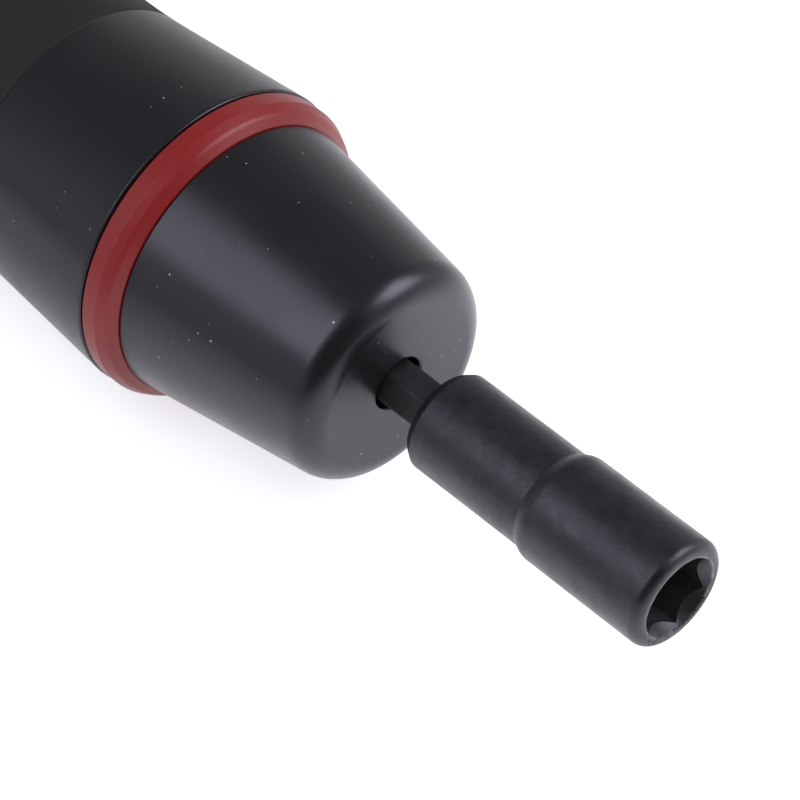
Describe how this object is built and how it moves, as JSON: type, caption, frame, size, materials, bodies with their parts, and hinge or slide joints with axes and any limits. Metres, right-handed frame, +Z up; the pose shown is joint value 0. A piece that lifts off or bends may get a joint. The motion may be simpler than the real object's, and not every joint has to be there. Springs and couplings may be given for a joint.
{
  "type": "torque screwdriver",
  "caption": "Adjustable torque-limiting screwdriver lying on its side: conical nose with a hexagon drive, coloured ring, fluted grip, scale barrel, rear knob and a fitted nut setter.",
  "frame": {"origin": "centre of the bottom of the bounding box, on the surface that the tool lies on", "axes": "+X along the axis towards the nut setter, +Z up, +Y to the left when looking towards the nose"},
  "size_m": [0.2038, 0.045, 0.045],
  "materials": {
    "black_oxide_steel": "satin black oxide, worn bright on the rim",
    "black_plastic": "satin black with a fine grain",
    "charcoal_plastic": "smooth satin charcoal",
    "red_plastic": "matte red",
    "soft_grip": "soft matte black with a fine texture",
    "satin_aluminium": "satin, turned, with black scale lines",
    "bright_steel": "turned and ground, lightly oiled",
    "spring_steel": "hard drawn wire",
    "bronze": "sintered bearing bronze",
    "magnet": "nickel plated",
    "seal_rubber": "smooth black"
  },
  "bodies": {
    "handle": {"nose_cap": "black_plastic", "front_bush": "bronze", "front_thrust_washer": "bright_steel", "colour_ring": "red_plastic", "housing_tube": "bright_steel", "handle_shell": "charcoal_plastic", "grip_sleeve": "soft_grip", "scale_barrel": "satin_aluminium", "knob_seal_ring": "seal_rubber", "main_spring": "spring_steel"},
    "spindle": {"spindle": "black_oxide_steel", "bit_snap_ring": "spring_steel", "bit_magnet": "magnet", "clutch_disc": "bright_steel", "disc_clip": "spring_steel"},
    "nut_setter": {"nut_setter": "black_oxide_steel", "nut_setter_magnet": "magnet"},
    "pressure_plate": {"pressure_plate": "bright_steel", "clutch_balls": "bright_steel"},
    "spring_seat": {"spring_seat": "bright_steel", "thrust_ball": "bright_steel"},
    "adjuster": {"adjusting_screw": "bright_steel", "adjusting_knob": "charcoal_plastic", "knob_screw": "bright_steel", "knob_cap": "black_plastic"}
  },
  "joints": [
    {"name": "spindle_slip", "type": "hinge", "parent": "handle", "child": "spindle", "pos_m": [0.0524, 0, 0.02248], "axis": [1, 0, 0], "continuous": true},
    {"name": "nut_setter_pull", "type": "slide", "parent": "spindle", "child": "nut_setter", "axis": [1, 0, 0], "range_m": [0, 0.018]},
    {"name": "plate_lift", "type": "slide", "parent": "handle", "child": "pressure_plate", "axis": [-1, 0, 0], "range_m": [0, 0.0011], "stiffness_N_per_m": 6000, "springref_m": -0.002, "deforming": ["main_spring"]},
    {"name": "screw_feed", "type": "slide", "parent": "handle", "child": "spring_seat", "axis": [1, 0, 0], "range_m": [0, 0.012], "deforming": ["main_spring"]},
    {"name": "knob_turn", "type": "hinge", "parent": "spring_seat", "child": "adjuster", "pos_m": [-0.1019, 0, 0.02248], "axis": [1, 0, 0], "range_deg": [0, 1440]}
  ],
  "couplings": [
    {"joint": "screw_feed", "follows": "knob_turn", "m_per_rad": 0.00047746}
  ]
}
